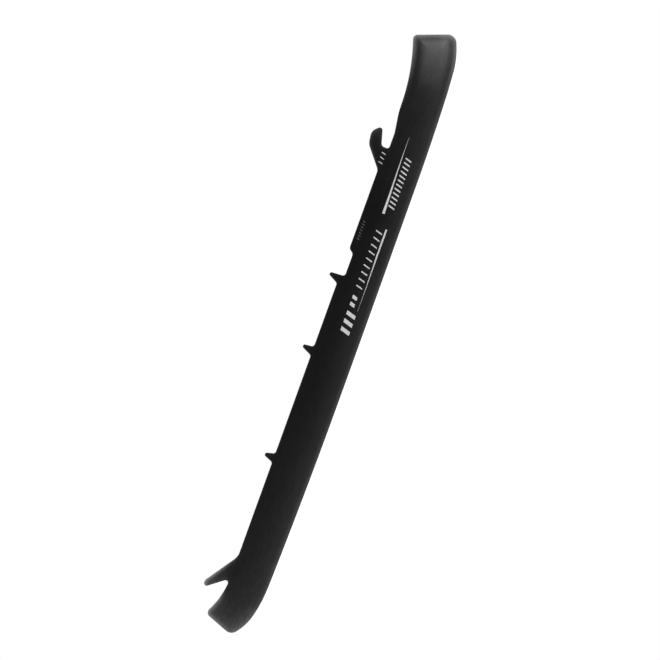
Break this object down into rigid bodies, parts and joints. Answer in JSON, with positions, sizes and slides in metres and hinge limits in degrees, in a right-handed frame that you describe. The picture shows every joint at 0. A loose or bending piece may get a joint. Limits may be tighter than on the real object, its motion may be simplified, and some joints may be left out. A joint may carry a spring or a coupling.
{
  "type": "goalie skate runner",
  "caption": "Flat steel runner for a goalkeeper's ice skate, with a rockered hollow-ground ice edge, a toe tang, barbs, a notch and an open latch hook along its top.",
  "frame": {"origin": "centre of the straight holder seat on the top edge, half way along the blade and in the middle of its thickness", "axes": "+X from the toe to the heel, +Y out of the plain side, +Z from the ice edge up to the blade holder; the marked side faces -Y"},
  "size_m": [0.272, 0.004, 0.0279],
  "materials": {
    "coated_steel": "satin"
  },
  "bodies": {
    "root": {"runner": "coated_steel"}
  },
  "joints": []
}
